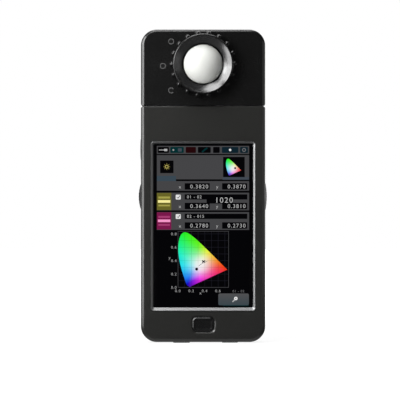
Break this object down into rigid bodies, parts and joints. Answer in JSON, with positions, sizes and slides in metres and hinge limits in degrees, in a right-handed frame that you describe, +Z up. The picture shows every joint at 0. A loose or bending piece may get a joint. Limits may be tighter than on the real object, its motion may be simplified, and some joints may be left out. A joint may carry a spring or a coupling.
{
  "type": "handheld spectrometer",
  "caption": "Handheld light spectrometer with a swivel receptor head, white diffuser dome in a lobed selector ring, touch screen, side buttons and a battery bay.",
  "frame": {"origin": "middle of the flat bottom face of the body, at mid width and mid depth, below the swivel axis", "axes": "+Z up along the swivel axis, +X to the right of a person who reads the screen, -Y out of the screen and the dome"},
  "size_m": [0.0756, 0.04, 0.184],
  "materials": {
    "body_paint": "satin",
    "head_paint": "satin",
    "bright_trim": "brushed",
    "screen_glass": "gloss",
    "lcd_plate": "matte",
    "board_laminate": "satin",
    "tin_plate": "satin",
    "black_plastic": "matte",
    "key_rubber": "matte",
    "soft_rubber": "matte",
    "cell_jacket": "gloss",
    "steel": "satin",
    "brass": "satin",
    "ring_metal": "satin",
    "opal_dome": "satin",
    "dark_anodised": "matte",
    "grating_glass": "gloss",
    "sensor_ceramic": "matte",
    "cable_jacket": "matte"
  },
  "bodies": {
    "body": {"front_cover": "body_paint", "rear_cover": "body_paint", "body_screw_1": "steel", "body_screw_2": "steel", "body_screw_3": "steel", "body_screw_4": "steel", "screen_frame": "bright_trim", "touch_glass": "screen_glass", "lcd_panel": "lcd_plate", "main_board": "board_laminate", "processor_shield": "tin_plate", "menu_switch": "tin_plate", "power_switch": "black_plastic", "measuring_switch": "black_plastic", "memory_switch": "black_plastic", "usb_socket": "tin_plate", "sync_socket": "brass", "battery_cell_left": "cell_jacket", "battery_cell_right": "cell_jacket", "battery_contact_left": "steel", "battery_contact_right": "steel", "battery_bridge": "steel", "tripod_nut": "brass", "neck_tube": "dark_anodised", "neck_clip": "steel", "cable_socket": "black_plastic"},
    "menu_key": {"menu_button": "key_rubber"},
    "power_key": {"power_button": "key_rubber"},
    "measuring_key": {"measuring_button": "key_rubber"},
    "memory_key": {"memory_button": "key_rubber"},
    "usb_flap": {"usb_cover": "soft_rubber"},
    "sync_flap": {"sync_cover": "soft_rubber"},
    "battery_door": {"battery_cover": "body_paint"},
    "door_latch": {"battery_latch": "black_plastic"},
    "head": {"head_front_cover": "head_paint", "head_rear_cover": "head_paint", "head_screw_1": "steel", "head_screw_2": "steel", "head_screw_3": "steel", "head_screw_4": "steel", "optics_block": "dark_anodised", "entrance_slit": "steel", "grating_mirror": "grating_glass", "line_sensor": "sensor_ceramic", "sensor_board": "board_laminate", "head_cable": "cable_jacket", "ring_bearing": "black_plastic", "detent_ball": "steel", "detent_spring": "steel"},
    "selector": {"selector_ring": "ring_metal", "dome_seat": "black_plastic", "diffuser_dome": "opal_dome", "selector_disc": "dark_anodised"}
  },
  "joints": [
    {"name": "head_swivel", "type": "hinge", "parent": "body", "child": "head", "pos_m": [0, 0, 0.1385], "axis": [0, 0, 1], "range_deg": [-90, 180]},
    {"name": "selector_turn", "type": "hinge", "parent": "head", "child": "selector", "pos_m": [0, -0.0135, 0.1628], "axis": [0, 1, 0], "range_deg": [-37.5, 37.5]},
    {"name": "menu_press", "type": "slide", "parent": "body", "child": "menu_key", "axis": [0, 1, 0], "range_m": [0, 0.0005], "stiffness_N_per_m": 400},
    {"name": "power_press", "type": "slide", "parent": "body", "child": "power_key", "axis": [1, 0, 0], "range_m": [0, 0.0004], "stiffness_N_per_m": 400},
    {"name": "measuring_press", "type": "slide", "parent": "body", "child": "measuring_key", "axis": [1, 0, 0], "range_m": [0, 0.0004], "stiffness_N_per_m": 400},
    {"name": "memory_press", "type": "slide", "parent": "body", "child": "memory_key", "axis": [-1, 0, 0], "range_m": [0, 0.0004], "stiffness_N_per_m": 400},
    {"name": "usb_flap_hinge", "type": "hinge", "parent": "body", "child": "usb_flap", "pos_m": [-0.0127, -0.0012, -0.0006], "axis": [1, 0, 0], "range_deg": [0, 110]},
    {"name": "sync_flap_hinge", "type": "hinge", "parent": "body", "child": "sync_flap", "pos_m": [0.0158, 0.0002, -0.0006], "axis": [1, 0, 0], "range_deg": [0, 110]},
    {"name": "battery_door_hinge", "type": "hinge", "parent": "body", "child": "battery_door", "pos_m": [0, 0.0135, 0.0194], "axis": [-1, 0, 0], "range_deg": [0, 110]},
    {"name": "door_latch_slide", "type": "slide", "parent": "body", "child": "door_latch", "axis": [0, 0, 1], "range_m": [0, 0.0025]}
  ]
}
